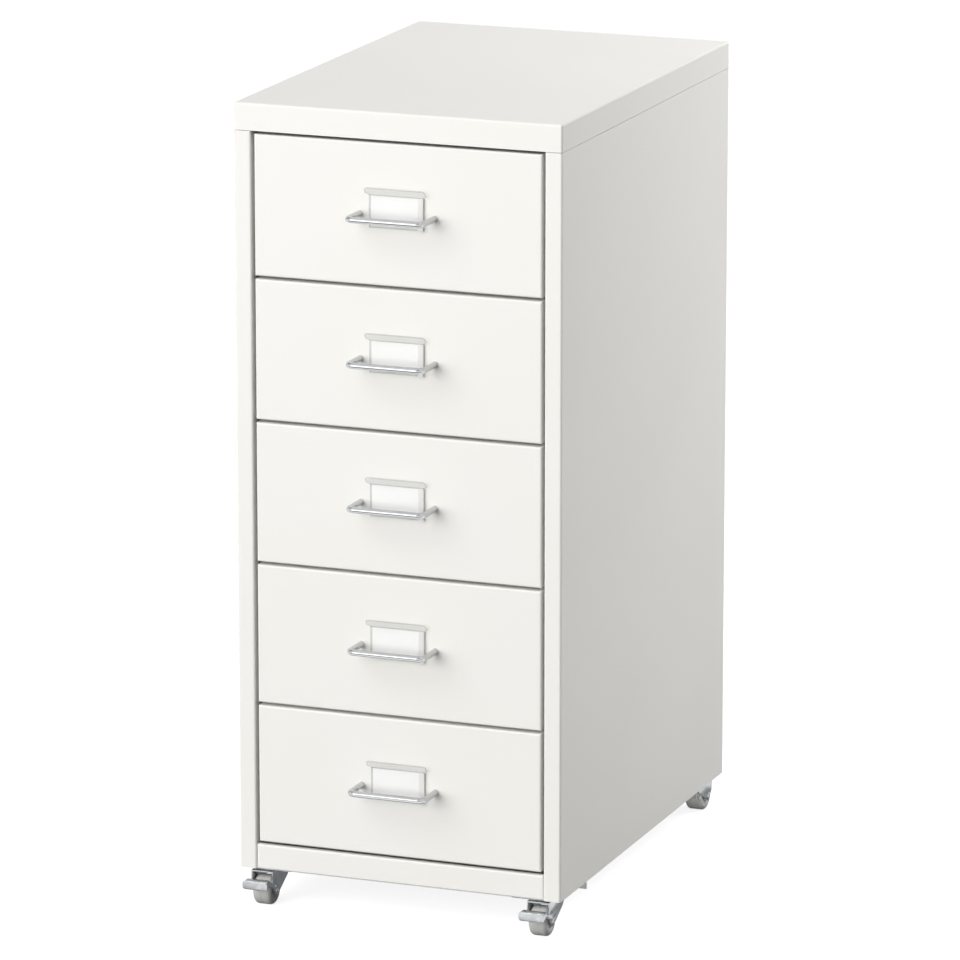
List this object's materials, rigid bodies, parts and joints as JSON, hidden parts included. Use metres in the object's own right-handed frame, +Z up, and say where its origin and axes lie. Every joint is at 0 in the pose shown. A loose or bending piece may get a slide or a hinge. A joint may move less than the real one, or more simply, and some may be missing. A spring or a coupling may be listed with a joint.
{
  "type": "drawer cabinet",
  "caption": "Slim upright sheet-steel drawer cabinet with a cap lid, stacked sliding drawers with wire handles and label sleeves, and swivel casters with brakes at the front.",
  "frame": {"origin": "on the floor, at the centre of the whole cabinet's footprint with drawers shut", "axes": "+Z up; the drawers open towards -Y; +X to the right when facing the drawers"},
  "size_m": [0.28, 0.4376, 0.67],
  "materials": {
    "body_enamel": "smooth satin white powder coat",
    "handle_chrome": "polished chrome plate",
    "zinc_steel": "bright zinc plate",
    "clear_plastic": "clear, polished",
    "label_paper": "plain white card",
    "wheel_grey": "moulded, satin"
  },
  "bodies": {
    "cabinet": {"side_panel_left": "body_enamel", "side_panel_right": "body_enamel", "top_lid": "body_enamel", "back_panel": "body_enamel", "base_pan": "body_enamel", "front_apron": "body_enamel", "top_braces": "body_enamel", "base_rail_front": "body_enamel", "base_rail_rear": "body_enamel", "runners_left": "body_enamel", "runners_right": "body_enamel", "frame_rivets": "zinc_steel", "caster_plates": "zinc_steel", "caster_kingpins": "zinc_steel", "caster_bolts": "zinc_steel"},
    "drawer_1": {"drawer_front_1": "body_enamel", "drawer_tray_1": "body_enamel", "drawer_handle_1": "handle_chrome", "handle_screws_1": "zinc_steel", "label_sleeve_1": "clear_plastic", "label_card_1": "label_paper"},
    "drawer_2": {"drawer_front_2": "body_enamel", "drawer_tray_2": "body_enamel", "drawer_handle_2": "handle_chrome", "handle_screws_2": "zinc_steel", "label_sleeve_2": "clear_plastic", "label_card_2": "label_paper"},
    "drawer_3": {"drawer_front_3": "body_enamel", "drawer_tray_3": "body_enamel", "drawer_handle_3": "handle_chrome", "handle_screws_3": "zinc_steel", "label_sleeve_3": "clear_plastic", "label_card_3": "label_paper"},
    "drawer_4": {"drawer_front_4": "body_enamel", "drawer_tray_4": "body_enamel", "drawer_handle_4": "handle_chrome", "handle_screws_4": "zinc_steel", "label_sleeve_4": "clear_plastic", "label_card_4": "label_paper"},
    "drawer_5": {"drawer_front_5": "body_enamel", "drawer_tray_5": "body_enamel", "drawer_handle_5": "handle_chrome", "handle_screws_5": "zinc_steel", "label_sleeve_5": "clear_plastic", "label_card_5": "label_paper"},
    "caster_front_left": {"caster_fork_front_left": "zinc_steel", "caster_axle_front_left": "zinc_steel"},
    "wheel_front_left": {"caster_wheel_front_left": "wheel_grey"},
    "brake_front_left": {"brake_lever_front_left": "zinc_steel"},
    "caster_front_right": {"caster_fork_front_right": "zinc_steel", "caster_axle_front_right": "zinc_steel"},
    "wheel_front_right": {"caster_wheel_front_right": "wheel_grey"},
    "brake_front_right": {"brake_lever_front_right": "zinc_steel"},
    "caster_rear_left": {"caster_fork_rear_left": "zinc_steel", "caster_axle_rear_left": "zinc_steel"},
    "wheel_rear_left": {"caster_wheel_rear_left": "wheel_grey"},
    "caster_rear_right": {"caster_fork_rear_right": "zinc_steel", "caster_axle_rear_right": "zinc_steel"},
    "wheel_rear_right": {"caster_wheel_rear_right": "wheel_grey"}
  },
  "joints": [
    {"name": "drawer_1_slide", "type": "slide", "parent": "cabinet", "child": "drawer_1", "axis": [0, -1, 0], "range_m": [0, 0.3009]},
    {"name": "drawer_2_slide", "type": "slide", "parent": "cabinet", "child": "drawer_2", "axis": [0, -1, 0], "range_m": [0, 0.3009]},
    {"name": "drawer_3_slide", "type": "slide", "parent": "cabinet", "child": "drawer_3", "axis": [0, -1, 0], "range_m": [0, 0.3009]},
    {"name": "drawer_4_slide", "type": "slide", "parent": "cabinet", "child": "drawer_4", "axis": [0, -1, 0], "range_m": [0, 0.3009]},
    {"name": "drawer_5_slide", "type": "slide", "parent": "cabinet", "child": "drawer_5", "axis": [0, -1, 0], "range_m": [0, 0.3009]},
    {"name": "caster_front_left_swivel", "type": "hinge", "parent": "cabinet", "child": "caster_front_left", "pos_m": [-0.1208, -0.16575, 0.032], "axis": [0, 0, 1], "continuous": true},
    {"name": "wheel_front_left_spin", "type": "hinge", "parent": "caster_front_left", "child": "wheel_front_left", "pos_m": [-0.1208, -0.17875, 0.0125], "axis": [1, 0, 0], "continuous": true},
    {"name": "brake_front_left_press", "type": "hinge", "parent": "caster_front_left", "child": "brake_front_left", "pos_m": [-0.1208, -0.18475, 0.0175], "axis": [1, 0, 0], "range_deg": [0, 22]},
    {"name": "caster_front_right_swivel", "type": "hinge", "parent": "cabinet", "child": "caster_front_right", "pos_m": [0.1208, -0.16575, 0.032], "axis": [0, 0, 1], "continuous": true},
    {"name": "wheel_front_right_spin", "type": "hinge", "parent": "caster_front_right", "child": "wheel_front_right", "pos_m": [0.1208, -0.17875, 0.0125], "axis": [1, 0, 0], "continuous": true},
    {"name": "brake_front_right_press", "type": "hinge", "parent": "caster_front_right", "child": "brake_front_right", "pos_m": [0.1208, -0.18475, 0.0175], "axis": [1, 0, 0], "range_deg": [0, 22]},
    {"name": "caster_rear_left_swivel", "type": "hinge", "parent": "cabinet", "child": "caster_rear_left", "pos_m": [-0.1208, 0.19325, 0.032], "axis": [0, 0, 1], "continuous": true},
    {"name": "wheel_rear_left_spin", "type": "hinge", "parent": "caster_rear_left", "child": "wheel_rear_left", "pos_m": [-0.1208, 0.20625, 0.0125], "axis": [1, 0, 0], "continuous": true},
    {"name": "caster_rear_right_swivel", "type": "hinge", "parent": "cabinet", "child": "caster_rear_right", "pos_m": [0.1208, 0.19325, 0.032], "axis": [0, 0, 1], "continuous": true},
    {"name": "wheel_rear_right_spin", "type": "hinge", "parent": "caster_rear_right", "child": "wheel_rear_right", "pos_m": [0.1208, 0.20625, 0.0125], "axis": [1, 0, 0], "continuous": true}
  ]
}
